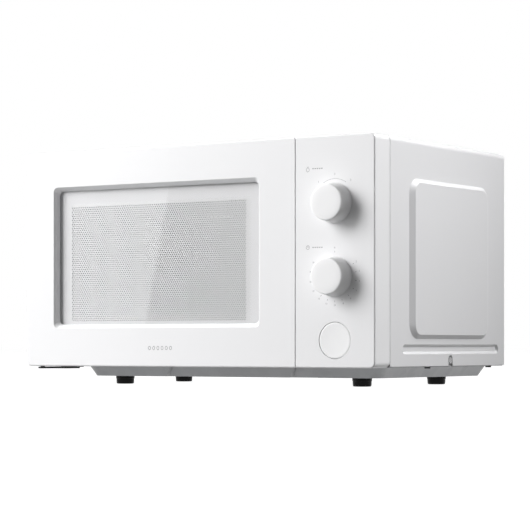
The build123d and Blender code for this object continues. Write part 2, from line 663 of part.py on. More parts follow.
def screw(radius, head, length):
    """A pan-head screw along Z, head down, with a cross recess."""
    body = Cylinder(radius, 1.8, align=(Align.CENTER, Align.CENTER, Align.MAX))
    body = body + Cylinder(head, length, align=(Align.CENTER, Align.CENTER, Align.MIN))
    slot = Pos(0, 0, -1.8) * Box(radius * 1.2, 0.8, 1.2)
    return body - slot - Rot(0, 0, 90) * slot


def make_case_screws():
    """Screws in the two side notches and round the back."""
    screws = []
    for side in (-1, 1):
        place = Pos(side * (RIGHT - 1.6), NOTCH_Y, 26.5) * Rot(0, -90 * side, 0)
        screws.append(place * screw(3.4, 1.6, 5))
    for x, z in ((-212, 60), (-212, 230), (212, 60), (212, 230), (0, 246), (-100, 28), (100, 28)):
        place = Pos(x, REAR - SHEET, z) * Rot(90, 0, 0)
        screws.append(place * screw(3.4, 1.6, 5))
    return Compound(screws)


def make_base_screws():
    """Screws up through the base flange."""
    screws = []
    for x, y in ((-214, 20), (-214, 120), (214, -20), (214, 120), (-190, 133), (-190, -90)):
        screws.append(Pos(x, y, CASE_BOTTOM - SHEET) * screw(3.2, 1.5, 5))
    return Compound(screws)


# ---------------------------------------------------------------- turntable


def make_turntable_motor():
    """Flat synchronous motor under the floor of the cavity."""
    top = CAVITY_FLOOR - SHEET
    body = rod_z(TABLE_X, TABLE_Y, top - 14.5, top, 24.5)
    ears = plate_xy(TABLE_X - 32, TABLE_X + 32, TABLE_Y - 6, TABLE_Y + 6, top - 1.2, top, 5)
    return body + ears - rod_z(TABLE_X, TABLE_Y, top - 6, top + 1, 3.56)


def make_turntable_coupler():
    """Drive hub on the motor's shaft, with three lobes that turn the tray."""
    hub = rod_z(TABLE_X, TABLE_Y, 37.0, 46.0, 13.0)
    shaft = rod_z(TABLE_X, TABLE_Y, CAVITY_FLOOR - SHEET - 5.5, 38, 3.5)
    coupler = hub + shaft
    for index in range(3):
        turn = Pos(TABLE_X, TABLE_Y, 0) * Rot(0, 0, 120 * index)
        coupler = coupler + turn * block(2, 12, -2.5, 2.5, 45, TRAY_Z - 0.5)
    return coupler


def make_glass_tray():
    """Round glass tray with a low rim and three drive pegs under its middle."""
    rise = 11.5
    tray = rod_z(TABLE_X, TABLE_Y, TRAY_Z, TRAY_Z + rise, TRAY_R)
    rim = tray.edges().filter_by(GeomType.CIRCLE).sort_by(Axis.Z)[0]
    tray = chamfer(rim, 7.0, 10.0)
    dish = Pos(TABLE_X, TABLE_Y, TRAY_Z + 4.5) * Cone(
        TRAY_R - 12.0, TRAY_R - 3.5, rise - 4.4, align=(Align.CENTER, Align.CENTER, Align.MIN)
    )
    tray = tray - dish
    for index in range(3):
        turn = Pos(TABLE_X, TABLE_Y, 0) * Rot(0, 0, 60 + 120 * index)
        tray = tray + turn * rod_z(8.5, 0, 46.5, TRAY_Z + 1, 2.0)
    return tray


def make_roller_ring():
    """Ring with a middle collar, three spokes and a stub axle for each roller."""
    z0 = ROLLER_Z - 2.5
    z1 = ROLLER_Z + 2.5
    outer = rod_z(TABLE_X, TABLE_Y, z0, z1, 84) - rod_z(TABLE_X, TABLE_Y, z0 - 1, z1 + 1, 78)
    collar = rod_z(TABLE_X, TABLE_Y, z0, z1, 21) - rod_z(TABLE_X, TABLE_Y, z0 - 1, z1 + 1, 16)
    ring = outer + collar
    for index in range(ROLLER_COUNT):
        turn = Pos(TABLE_X, TABLE_Y, 0) * Rot(0, 0, 360 / ROLLER_COUNT * index)
        ring = ring + turn * block(20, 79, -3, 3, z0, z1)
        ring = ring + turn * rod_x(83, ROLLER_PATH_R + 6, 0, ROLLER_Z, 2.0)
        ring = ring + turn * rod_x(ROLLER_PATH_R + 5, ROLLER_PATH_R + 6.5, 0, ROLLER_Z, 3.2)
    return ring


def make_roller(index):
    """One roller with a rounded tread, running on its stub axle."""
    turn = Pos(TABLE_X, TABLE_Y, 0) * Rot(0, 0, 360 / ROLLER_COUNT * index)
    wheel = rod_x(ROLLER_PATH_R - 4.5, ROLLER_PATH_R + 4.5, 0, ROLLER_Z, ROLLER_R)
    wheel = fillet(wheel.edges().filter_by(GeomType.CIRCLE), 1.2)
    return turn * (wheel - rod_x(ROLLER_PATH_R - 6, ROLLER_PATH_R + 6, 0, ROLLER_Z, 2.05))


# ---------------------------------------------------------------- microwave source and cooling


def make_waveguide():
    """Sheet duct from the magnetron to the opening in the cavity wall."""
    x0 = CAVITY_RIGHT + SHEET
    x1 = x0 + 26
    z0, z1 = MAGNETRON_Z - 24, MAGNETRON_Z + 24
    duct = block(x0, x1, MAGNETRON_Y - 42, MAGNETRON_Y + 42, z0, z1)
    duct = duct - block(x0 - 1, x1 - 1, MAGNETRON_Y - 41, MAGNETRON_Y + 41, z0 + 1, z1 - 1)
    flange = block(x0, x0 + 1, MAGNETRON_Y - 50, MAGNETRON_Y + 50, z0 - 7, z1 + 7)
    flange = flange - block(x0 - 1, x0 + 2, MAGNETRON_Y - 41, MAGNETRON_Y + 41, z0 + 1, z1 - 1)
    return duct + flange - rod_x(x1 - 2, x1 + 1, MAGNETRON_Y, MAGNETRON_Z, 10)


def make_waveguide_cover():
    """Mica sheet over the microwave opening, on the cavity side."""
    return block(
        CAVITY_RIGHT - 0.5,
        CAVITY_RIGHT,
        MAGNETRON_Y - 38,
        MAGNETRON_Y + 36,
        MAGNETRON_Z - 26,
        MAGNETRON_Z + 26,
    )


def make_magnetron():
    """Magnetron: yoke, cooling fins, two ring magnets, antenna and the filter box on its end."""
    x0 = CAVITY_RIGHT + SHEET + 26
    y0, y1 = MAGNETRON_Y - 42, MAGNETRON_Y + 42
    z0, z1 = MAGNETRON_Z - 34, MAGNETRON_Z + 34
    yoke = block(x0, x0 + 60, y0, y1, z0, z1) - block(x0 + 2, x0 + 58, y0 - 1, y1 + 1, z0 + 2, z1 - 2)
    body = yoke + rod_x(x0 + 1, x0 + 59, MAGNETRON_Y, MAGNETRON_Z, 20)
    body = body + rod_x(x0 + 1.5, x0 + 13, MAGNETRON_Y, MAGNETRON_Z, 27)
    body = body + rod_x(x0 + 47, x0 + 58.5, MAGNETRON_Y, MAGNETRON_Z, 27)
    for index in range(6):
        x = x0 + 17 + index * 5
        body = body + block(x, x + 0.8, y0 + 2, y1 - 2, z0 + 1, z1 - 1)
    box = block(x0 + 59.5, x0 + 80, MAGNETRON_Y - 26, MAGNETRON_Y + 26, z0 + 6, z1 - 6)
    antenna = rod_x(x0 - 20, x0 + 1, MAGNETRON_Y, MAGNETRON_Z, 8.5)
    return body + box + antenna


def make_transformer_core():
    """Laminated core of the high-voltage transformer, on its foot plate."""
    y0, y1 = FRONT + 122, FRONT + 186
    z0 = PAN_INSIDE + 2
    core = block(CORE_LEFT, CORE_RIGHT, y0, y1, z0, z0 + 70)
    for x0, x1 in ((CORE_LEFT + 14, CORE_LEFT + 28), (CORE_RIGHT - 28, CORE_RIGHT - 14)):
        core = core - block(x0, x1, y0 - 1, y1 + 1, z0 + 14, z0 + 56)
    return core + block(CORE_LEFT - 4, CORE_RIGHT + 2, y0 + 8, y1 - 8, PAN_INSIDE, z0 + 0.5)


def make_transformer_windings():
    """Primary and secondary coils round the middle leg of the core."""
    z0 = PAN_INSIDE + 2
    coils = []
    for low, high in ((z0 + 14.5, z0 + 33), (z0 + 37, z0 + 55.5)):
        outer = plate_xy(CORE_LEFT + 14.4, CORE_RIGHT - 14.4, FRONT + 109, FRONT + 199, low, high, 12)
        leg = block(CORE_LEFT + 27.7, CORE_RIGHT - 27.7, FRONT + 121.7, FRONT + 186.3, low - 1, high + 1)
        coils.append(outer - leg)
    return Compound(coils)


def make_hv_capacitor():
    """Oval can with two terminals on its end."""
    can = block(116, 190, FRONT + 212, FRONT + 262, PAN_INSIDE + 1.2, PAN_INSIDE + 34)
    can = fillet(can.edges().filter_by(Axis.X), 15)
    for y in (FRONT + 226, FRONT + 248):
        can = can + block(189, 196, y - 3, y + 3, PAN_INSIDE + 17, PAN_INSIDE + 17.8)
    return can


def make_capacitor_clamp():
    """Steel strap that holds the capacitor down."""
    z1 = PAN_INSIDE + 35.2
    strap = block(146, 158, FRONT + 210.8, FRONT + 263.2, PAN_INSIDE, z1)
    strap = fillet(edges_at(strap, Axis.X, Z=z1), 15)
    inside = block(145, 159, FRONT + 211.9, FRONT + 262.1, PAN_INSIDE - 1, PAN_INSIDE + 34.1)
    inside = fillet(edges_at(inside, Axis.X, Z=PAN_INSIDE + 34.1), 14.9)
    strap = strap - inside
    ear = block(146, 158, FRONT + 199.8, FRONT + 211.5, PAN_INSIDE, PAN_INSIDE + 1.1)
    return strap + ear


def make_hv_diode():
    """High-voltage diode standing between the capacitor and the base."""
    body = rod_z(204, FRONT + 237, 30, 44, 3.2)
    leads = rod_z(204, FRONT + 237, 26, 50, 0.6)
    return body + leads


def make_fan_motor():
    """Shaded-pole motor behind the cooling fan: core, coil and bearing caps."""
    y0 = FRONT + 262
    core = block(FAN_X - 28, FAN_X + 28, y0 + 5, y0 + 17, FAN_Z - 26, FAN_Z + 30)
    coil_block = block(FAN_X - 13, FAN_X + 13, y0 + 1, y0 + 21, FAN_Z - 32, FAN_Z - 15)
    caps = rod_y(FAN_X, y0, y0 + 21.5, FAN_Z, 11)
    return core + coil_block + caps - rod_y(FAN_X, y0 - 1, y0 + 16, FAN_Z, 2.55)


def make_fan_shaft():
    return rod_y(FAN_X, FRONT + 240, FRONT + 277, FAN_Z, 2.5)


def make_fan_blade():
    """Five-bladed axial fan."""
    hub = rod_y(FAN_X, FRONT + 241, FRONT + 259, FAN_Z, 13)
    fan = hub
    for index in range(5):
        sheet = Pos(0, 0, 28) * Rot(0, 0, 35) * Box(22, 1.8, 38)
        turn = Pos(FAN_X, FRONT + 250, FAN_Z) * Rot(0, 72 * index, 0)
        fan = fan + turn * sheet
    return fan - rod_y(FAN_X, FRONT + 240, FRONT + 260, FAN_Z, 2.5)


def make_air_duct():
    """Moulded shroud round the fan, fixed to the back, with a bearer for the motor."""
    x0, x1, z0, z1 = 108.0, 220.0, 96.0, 203.0
    y0 = FRONT + 236
    front = block(x0, x1, y0, y0 + 2, z0, z1) - rod_y(FAN_X, y0 - 1, y0 + 3, FAN_Z, 51)
    walls = block(x0, x1, y0, FRONT + 285.2, z0, z1) - block(
        x0 + 2, x1 - 2, y0 - 1, FRONT + 286, z0 + 2, z1 - 2
    )
    duct = front + walls
    for side in (-1, 1):
        span = sorted((FAN_X + side * 26, x1 - 1 if side > 0 else x0 + 1))
        duct = duct + block(span[0], span[1], FRONT + 279.4, FRONT + 283, FAN_Z - 5, FAN_Z + 5)
    return duct


def make_lamp_holder():
    """Socket of the cavity lamp, clipped outside the cavity wall."""
    x0 = CAVITY_RIGHT + SHEET
    base = block(x0, x0 + 1.2, FRONT + 226, FRONT + 272, 205, 237)
    cup = block(x0 + 1, x0 + 26, FRONT + 229, FRONT + 261, 206, 236)
    cup = cup - block(x0 - 1, x0 + 24, FRONT + 231, FRONT + 259, 208, 234)
    hole = block(x0 - 1, x0 + 2, FRONT + 230, FRONT + 260, 207.5, 234.5)
    return (base - hole) + cup


def make_cavity_lamp():
    """Small filament lamp: glass bulb on a screw base."""
    x0 = CAVITY_RIGHT + SHEET
    bulb = rod_x(x0 + 2.5, x0 + 17, LAMP_Y, LAMP_Z, 7.5)
    bulb = fillet(bulb.edges().filter_by(GeomType.CIRCLE), 5.5)
    return bulb + rod_x(x0 + 16, x0 + 24, LAMP_Y, LAMP_Z, 4.5)


def make_line_filter_board():
    """Mains filter: board on posts with a choke coil and two block capacitors."""
    x0, x1, y0, y1 = 118.0, 194.0, FRONT + 66, FRONT + 104
    z = 17.0
    board = block(x0, x1, y0, y1, z, z + 1.6)
    for x in (x0 + 4, x1 - 4):
        for y in (y0 + 4, y1 - 4):
            board = board + rod_z(x, y, 16.0, z + 0.5, 2.5)
    board = board + block(130, 158, FRONT + 78, FRONT + 96, z + 1, z + 22)
    board = board + block(162, 176, FRONT + 78, FRONT + 100, z + 1, z + 16)
    return board + block(180, 188, FRONT + 78, FRONT + 96, z + 1, z + 14)


def make_fuse():
    """Ceramic fuse in two clips on the filter board."""
    z = 18.6
    fuse = rod_x(134, 160, FRONT + 71, z + 5.5, 3.1)
    for x in (135, 155):
        fuse = fuse + block(x, x + 4, FRONT + 69, FRONT + 73, z, z + 4)
    return fuse


def make_filter_posts():
    """Posts that hold the filter board above the slots in the pan."""
    posts = []
    for x in (122, 190):
        for y in (FRONT + 70, FRONT + 100):
            posts.append(rod_z(x, y, PAN_INSIDE, 16.0, 3.2))
    return Compound(posts)


def make_thermal_cutout():
    """Disc thermostat on the outside of the cavity wall."""
    x0 = CAVITY_RIGHT + SHEET
    disc = rod_x(x0, x0 + 8, FRONT + 100, 205, 8)
    ears = block(x0, x0 + 0.8, FRONT + 88, FRONT + 112, 201, 209)
    tags = block(x0 + 7, x0 + 15, FRONT + 96, FRONT + 104, 203, 203.8)
    return disc + ears + tags


def make_cord_grommet():
    """Inlet for the mains lead: a flanged bush in the back."""
    y0 = REAR - 1.6
    bush = rod_y(GROMMET_X, y0 - 5, y0 + 4, GROMMET_Z, 7.9)
    bush = bush + rod_y(GROMMET_X, y0 + SHEET, y0 + SHEET + 3, GROMMET_Z, 11)
    bush = bush + rod_y(GROMMET_X, y0 - 3, y0, GROMMET_Z, 10.5)
    return bush - rod_y(GROMMET_X, y0 - 6, y0 + 6, GROMMET_Z, 3.8)


def write_parts():
    nodes = {
        "outer_case": make_outer_case(),
        "base_plate": make_base_plate(),
        "rear_panel": make_rear_panel(),
        "rear_spacers": make_rear_spacers(),
        "rubber_feet": make_rubber_feet(),
        "oven_cavity": make_oven_cavity(),
        "front_plate": make_front_plate(),
        "control_panel": make_control_panel(),
        "control_bracket": make_control_bracket(),
        "upper_hinge": make_upper_hinge(),
        "lower_hinge": make_lower_hinge(),
        "case_screws": make_case_screws(),
        "base_screws": make_base_screws(),
        "door_frame": make_door_frame(),
        "hinge_bushes": make_hinge_bushes(),
        "window_pane": make_window_pane(),
        "door_screen": make_door_screen(),
        "inner_film": make_inner_film(),
        "choke_cover": make_choke_cover(),
        "latch_bar": make_latch_bar(),
        "latch_spring": make_latch_spring(),
        "interlock_holder": make_interlock_holder(),
        "interlock_switches": make_interlock_switches(),
        "door_button": make_door_button(),
        "release_lever": make_release_lever(),
        "lever_spring": make_lever_spring(),
        "power_knob": make_knob(POWER_Z),
        "power_shaft": make_shaft(POWER_Z),
        "power_selector": make_power_selector(),
        "timer_knob": make_knob(TIMER_Z),
        "timer_shaft": make_shaft(TIMER_Z),
        "timer_mechanism": make_timer_mechanism(),
        "timer_bell": make_timer_bell(),
        "turntable_motor": make_turntable_motor(),
        "turntable_coupler": make_turntable_coupler(),
        "glass_tray": make_glass_tray(),
        "roller_ring": make_roller_ring(),
        "waveguide": make_waveguide(),
        "waveguide_cover": make_waveguide_cover(),
        "magnetron": make_magnetron(),
        "transformer_core": make_transformer_core(),
        "transformer_windings": make_transformer_windings(),
        "hv_capacitor": make_hv_capacitor(),
        "capacitor_clamp": make_capacitor_clamp(),
        "hv_diode": make_hv_diode(),
        "fan_motor": make_fan_motor(),
        "fan_shaft": make_fan_shaft(),
        "fan_blade": make_fan_blade(),
        "air_duct": make_air_duct(),
        "lamp_holder": make_lamp_holder(),
        "cavity_lamp": make_cavity_lamp(),
        "line_filter_board": make_line_filter_board(),
        "filter_posts": make_filter_posts(),
        "fuse": make_fuse(),
        "thermal_cutout": make_thermal_cutout(),
        "cord_grommet": make_cord_grommet(),
    }
    for index in range(ROLLER_COUNT):
        nodes["roller_" + "abc"[index]] = make_roller(index)
    os.makedirs("parts", exist_ok=True)
    for name, shape in nodes.items():
        export_step(shape, f"parts/{name}.step")


write_parts()
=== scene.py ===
import bpy
import bmesh
import math
from mathutils import Matrix, Quaternion, Vector


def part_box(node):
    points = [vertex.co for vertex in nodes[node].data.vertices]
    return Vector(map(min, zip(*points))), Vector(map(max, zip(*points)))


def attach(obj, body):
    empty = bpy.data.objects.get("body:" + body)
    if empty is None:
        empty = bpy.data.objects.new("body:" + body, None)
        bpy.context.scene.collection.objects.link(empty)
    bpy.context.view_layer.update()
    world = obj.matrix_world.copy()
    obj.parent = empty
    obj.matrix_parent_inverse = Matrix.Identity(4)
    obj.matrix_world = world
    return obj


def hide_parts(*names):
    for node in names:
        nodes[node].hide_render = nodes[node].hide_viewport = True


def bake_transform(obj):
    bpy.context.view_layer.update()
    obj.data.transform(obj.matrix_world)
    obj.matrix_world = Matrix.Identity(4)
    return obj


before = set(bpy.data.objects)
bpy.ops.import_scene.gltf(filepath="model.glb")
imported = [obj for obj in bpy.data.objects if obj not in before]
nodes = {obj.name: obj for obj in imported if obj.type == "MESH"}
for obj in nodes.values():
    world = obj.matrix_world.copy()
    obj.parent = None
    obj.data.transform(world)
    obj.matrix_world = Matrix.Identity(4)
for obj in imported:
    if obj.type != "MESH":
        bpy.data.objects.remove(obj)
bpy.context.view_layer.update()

# ---------------------------------------------------------------- studio
# A white sweep and five soft lights: a tall one at the front left, which also shows in the
# window, a large key high behind it, a narrow one for the side from the back right, a low
# bounce at the front, and a wide faint one overhead.

camera_data = bpy.data.cameras.new("camera")
camera_data.lens = 141.32
camera_data.sensor_width = 36.0
camera_data.shift_y = 0.1501
camera_data.clip_end = 60.0
camera = bpy.data.objects.new("camera", camera_data)
camera.location = (1.25654, -1.94039, 0.04319)
camera.rotation_euler = (math.radians(90), 0, math.radians(32.961))
bpy.context.scene.collection.objects.link(camera)
bpy.context.scene.camera = camera
bpy.context.scene.view_settings.view_transform = "Standard"

# The camera sees a plain white sky, while the object gets only a faint even light from it.
world = bpy.data.worlds.new("studio")
bpy.context.scene.world = world
world.use_nodes = True
sky = world.node_tree.nodes["Background"]
sky.inputs["Color"].default_value = (1.0, 1.0, 1.0, 1.0)
sky.inputs["Strength"].default_value = 0.135
seen = world.node_tree.nodes.new("ShaderNodeLightPath")
white_sky = world.node_tree.nodes.new("ShaderNodeBackground")
white_sky.inputs["Color"].default_value = (1.0, 1.0, 1.0, 1.0)
chosen = world.node_tree.nodes.new("ShaderNodeMixShader")
world.node_tree.links.new(seen.outputs["Is Camera Ray"], chosen.inputs["Fac"])
world.node_tree.links.new(sky.outputs["Background"], chosen.inputs[1])
world.node_tree.links.new(white_sky.outputs["Background"], chosen.inputs[2])
world.node_tree.links.new(chosen.outputs["Shader"], world.node_tree.nodes["World Output"].inputs["Surface"])


def soft_box(name, place, aim, width, height, power, lean=0.0):
    """A rectangular soft light at a place, facing the aim point and leaning sideways by an angle."""
    data = bpy.data.lights.new(name, "AREA")
    data.shape = "RECTANGLE"
    data.size = width
    data.size_y = height
    data.energy = power
    light = bpy.data.objects.new(name, data)
    light.location = place
    facing = (Vector(aim) - Vector(place)).to_track_quat("-Z", "Y")
    light.rotation_euler = (facing @ Quaternion((0, 0, 1), lean)).to_euler()
    bpy.context.scene.collection.objects.link(light)
    return light


soft_box(
    "window_light", (-1.182, -1.218, 0.62), (0.128, -0.029, 0.62),
    width=0.72, height=1.24, power=3.2, lean=math.radians(-10.3),
)
soft_box("key_light", (-2.45, -2.35, 2.0), (0.0, -0.12, 0.12), width=2.5, height=2.5, power=180)
side_light = soft_box(
    "side_light", (1.15, 0.62, 1.3), (0.22, -0.26, 0.32), width=0.7, height=0.7, power=4.35
)
side_light.data.spread = math.radians(54)
bounce_light = soft_box(
    "bounce_light", (-0.75, -1.0, 0.02), (-0.08, -0.14, 0.08), width=0.8, height=0.3, power=2.0
)
bounce_light.visible_glossy = False
soft_box("top_light", (0.1, 0.2, 2.2), (0.0, 0.0, 0.2), width=1.6, height=1.6, power=3)

# The floor glows nearly white, so that no horizon shows, and only reflections pick up its glow.
bpy.ops.mesh.primitive_plane_add(size=40, location=(0, 0, -0.0002))
floor = bpy.context.object
floor.name = "floor"
floor_paint = bpy.data.materials.new("floor_paint")
floor_paint.use_nodes = True
floor_shader = floor_paint.node_tree.nodes["Principled BSDF"]
floor_shader.inputs["Base Color"].default_value = (0.25, 0.25, 0.25, 1.0)
floor_shader.inputs["Roughness"].default_value = 0.9
floor_shader.inputs["Emission Color"].default_value = (1.0, 1.0, 1.0, 1.0)
floor_shader.inputs["Emission Strength"].default_value = 0.95
floor.data.materials.append(floor_paint)
floor.visible_diffuse = False

# ---------------------------------------------------------------- outer case
# One sheet of steel bent over the top and both sides, with a raised field and a
# groove pressed into each side, powder coated white with a fine even texture.


class Value:
    """A number that varies over a surface; arithmetic on it adds the node that does the sum."""

    def __init__(self, finish, socket):
        self.finish = finish
        self.socket = socket

    def sum(self, operation, first, second):
        """The result of one Math node."""
        node = self.finish.node("Math", {"operation": operation}, {0: first, 1: second})
        return Value(self.finish, node.outputs[0])

    def __add__(self, other):
        return self.sum("ADD", self, other)

    def __radd__(self, other):
        return self.sum("ADD", other, self)

    def __sub__(self, other):
        return self.sum("SUBTRACT", self, other)

    def __rsub__(self, other):
        return self.sum("SUBTRACT", other, self)

    def __mul__(self, other):
        return self.sum("MULTIPLY", self, other)

    def __rmul__(self, other):
        return self.sum("MULTIPLY", other, self)


class Finish:
    """One surface finish: a principled shader, its even values, and the nodes that vary the rest."""

    def __init__(self, name, **even):
        self.material = bpy.data.materials.new(name)
        self.material.use_nodes = True
        self.tree = self.material.node_tree
        self.shader = self.tree.nodes["Principled BSDF"]
        for socket, value in even.items():
            self.shader.inputs[socket.replace("_", " ")].default_value = value

    def node(self, kind, settings, sockets):
        """Adds a node, sets its settings, and then gives its sockets their values or links."""
        node = self.tree.nodes.new("ShaderNode" + kind)
        for name, setting in settings.items():
            setattr(node, name, setting)
        for name, value in sockets.items():
            if isinstance(value, Value):
                self.tree.links.new(value.socket, node.inputs[name])
            else:
                node.inputs[name].default_value = value
        return node

    def feed(self, socket, value):
        """Lets a varying value drive one socket of the shader."""
        self.tree.links.new(value.socket, self.shader.inputs[socket])

    def place(self):
        """The point on the piece, in metres."""
        return Value(self, self.node("TexCoord", {}, {}).outputs["Object"])

    def cloud(self, size, detail=2.0):
        """Soft random patches of about the given size in metres, from 0 to 1."""
        sockets = {"Vector": self.place(), "Scale": 1 / size, "Detail": detail}
        return Value(self, self.node("TexNoise", {}, sockets).outputs["Fac"])

    def tones(self, light, dark, share):
        """Two colours mixed by a varying share of the second."""
        sockets = {"Factor": share, 6: (*light, 1.0), 7: (*dark, 1.0)}
        mix = self.node("Mix", {"data_type": "RGBA"}, sockets)
        self.feed("Base Color", Value(self, mix.outputs[2]))

    def relief(self, height, depth):
        """Raises the surface by a varying height, at most the given depth in metres."""
        bump = self.node("Bump", {}, {"Height": height, "Distance": depth, "Strength": 1.0})
        self.feed("Normal", Value(self, bump.outputs[0]))


def even_skin(name, light, dark, rough, patch, grain, depth, **even):
    """The usual finish: two close colours and a range of roughness that change slowly over
    patches, with a fine grain in relief; patch, grain and depth are in metres."""
    finish = Finish(name, **even)
    slow = finish.cloud(patch, 3.0)
    fine = finish.cloud(grain)
    smoothest, roughest = rough
    spread = roughest - smoothest
    finish.tones(light, dark, slow * 0.7 + fine * 0.3)
    finish.feed("Roughness", slow * spread * 0.6 + fine * spread * 0.4 + smoothest)
    finish.relief(fine, depth)
    return finish


def wear(finish, *names):
    """Gives CAD nodes a finish."""
    for name in names:
        for held in nodes[name].material_slots:
            held.material = finish.material


powder_coat = even_skin(
    "powder_coat", (0.80, 0.80, 0.81), (0.77, 0.77, 0.785), (0.42, 0.52), 0.06, 0.0011, 0.00003
)
wear(powder_coat, "outer_case")

# ---------------------------------------------------------------- base, back and feet
# The base pan and the back are bare galvanised sheet, spot welded and screwed to the case.
# The feet are pushed through the pan; the two stand-offs keep the rear vents off a wall.

zinc = Finish("galvanised_sheet", Metallic=0.35)
crystals = Value(
    zinc,
    zinc.node("TexVoronoi", {}, {"Vector": zinc.place(), "Scale": 1 / 0.011}).outputs["Color"],
)
crystal_tone = Value(zinc, zinc.node("SeparateColor", {}, {0: crystals}).outputs[0])
zinc_cloud = zinc.cloud(0.05)
zinc.tones((0.38, 0.385, 0.395), (0.30, 0.305, 0.315), crystal_tone * 0.16 + zinc_cloud * 0.5)
zinc.feed("Roughness", crystal_tone * 0.12 + zinc_cloud * 0.08 + 0.34)
zinc.relief(zinc.cloud(0.0009, 3.0), 0.00002)
wear(zinc, "base_plate", "rear_panel")


def lone(piece=None):
    """Leaves edit mode with only the given piece selected, or nothing."""
    if bpy.context.mode != "OBJECT":
        bpy.ops.object.mode_set(mode="OBJECT")
    bpy.ops.object.select_all(action="DESELECT")
    if piece is not None:
        piece.select_set(True)
        bpy.context.view_layer.objects.active = piece


def pick_edges(piece, wanted):
    """In edit mode, selects only the edges whose middle and direction are wanted."""
    bpy.ops.mesh.select_mode(type="EDGE")
    bpy.ops.mesh.select_all(action="DESELECT")
    mesh = bmesh.from_edit_mesh(piece.data)
    for edge in mesh.edges:
        first, second = (vert.co for vert in edge.verts)
        if wanted((first + second) / 2, (second - first).normalized()):
            edge.select_set(True)
    mesh.select_flush_mode()
    bmesh.update_edit_mesh(piece.data)


def modify(piece, kind, **settings):
    """Adds a modifier and applies it."""
    lone(piece)
    modifier = piece.modifiers.new("work", kind)
    for name, value in settings.items():
        setattr(modifier, name, value)
    bpy.ops.object.modifier_apply(modifier="work")


def smooth(piece, angle=32):
    """Shades a piece smooth, apart from its edges sharper than the angle in degrees."""
    lone(piece)
    bpy.ops.object.transform_apply(location=True, rotation=True, scale=True)
    bpy.ops.object.shade_smooth_by_angle(angle=math.radians(angle))


def turned(centre, axis, profile, steps):
    """A turned piece: its profile of radius and height points is drawn, then spun about the axis."""
    lone()
    centre, axis = Vector(centre), Vector(axis)
    points = [centre + Vector((radius, 0, 0)) + axis * height for radius, height in profile]
    bpy.ops.mesh.primitive_plane_add(size=0.001)
    piece = bpy.context.object
    bpy.ops.object.mode_set(mode="EDIT")
    bpy.ops.mesh.select_mode(type="VERT")
    bpy.ops.mesh.select_all(action="SELECT")
    bpy.ops.mesh.merge(type="CENTER")
    bpy.ops.transform.translate(value=points[0])
    for here, there in zip(points, points[1:]):
        bpy.ops.mesh.extrude_region_move(TRANSFORM_OT_translate={"value": there - here})
    bpy.ops.mesh.select_all(action="SELECT")
    bpy.ops.mesh.spin(steps=steps, angle=2 * math.pi, center=centre, axis=axis)
    bpy.ops.mesh.select_all(action="SELECT")
    bpy.ops.mesh.remove_doubles(threshold=0.000004)
    bpy.ops.mesh.normals_make_consistent(inside=False)
    smooth(piece)
    return piece


def like(piece, place=None, centre=None, axis="Y", angle=0.0):
    """A copy with its own mesh, moved by place or turned about a centre."""
    copy = piece.copy()
    copy.data = piece.data.copy()
    bpy.context.scene.collection.objects.link(copy)
    if place is not None:
        copy.data.transform(Matrix.Translation(place))
    if centre is not None:
        turn = Matrix.Rotation(angle, 4, axis)
        copy.data.transform(Matrix.Translation(centre) @ turn @ Matrix.Translation(-Vector(centre)))
    return copy


def joined(pieces):
    """One object from several."""
    lone()
    for piece in pieces:
        piece.select_set(True)
    bpy.context.view_layer.objects.active = pieces[0]
    bpy.ops.object.join()
    return pieces[0]


def fitted(piece, name, body, finish, slot, *stands_for):
    """Names a finished piece, gives it its finish, and fixes it to its body."""
    piece.name = name
    piece.data.name = name
    piece.data.materials.clear()
    piece.data.materials.append(finish.material)
    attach(piece, body)
    if stands_for:
        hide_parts(*stands_for)


rubber = even_skin(
    "foot_rubber", (0.004, 0.004, 0.004), (0.006, 0.006, 0.006), (0.16, 0.24), 0.02, 0.0008, 0.00001,
    Specular_IOR_Level=0.1,
)
low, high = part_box("rubber_feet")
foot_height = high.z - low.z
foot_radius = 0.0103
foot_profile = [
    (0.0, 0.0034), (0.0034, 0.0034), (0.0040, 0.0028), (0.0042, 0.0004), (0.0046, 0.0), (0.0084, 0.0),
    (0.0093, 0.0004), (0.0097, 0.0014), (0.0099, 0.0048), (0.0099, 0.0056), (foot_radius, 0.0060),
    (foot_radius, foot_height), (0.0, foot_height),
]
foot_points = [vert.co.xy for vert in nodes["rubber_feet"].data.vertices]
foot_centres = []
for corner in ((low.x, low.y), (low.x, high.y), (high.x, low.y), (high.x, high.y)):
    nearest = min(foot_points, key=lambda point: (point - Vector(corner)).length)
    own = [point for point in foot_points if (point - nearest).length < 2.2 * foot_radius]
    middle_x = (min(point.x for point in own) + max(point.x for point in own)) / 2
    middle_y = (min(point.y for point in own) + max(point.y for point in own)) / 2
    foot_centres.append(Vector((middle_x, middle_y)))
first_foot = turned((foot_centres[0].x, foot_centres[0].y, 0.0), (0, 0, 1), foot_profile, 64)
feet = [first_foot]
for centre in foot_centres[1:]:
    step = centre - foot_centres[0]
    feet.append(like(first_foot, place=(step.x, step.y, 0.0)))
fitted(joined(feet), "moulded_feet", "cabinet", rubber, "foot_rubber", "rubber_feet")

dark_moulding = even_skin(
    "dark_moulding", (0.05, 0.05, 0.055), (0.035, 0.035, 0.038), (0.45, 0.6), 0.03, 0.0006, 0.00002
)
wear(dark_moulding, "rear_spacers", "cord_grommet", "hinge_bushes", "interlock_switches")
wear(dark_moulding, "hv_diode", "thermal_cutout")

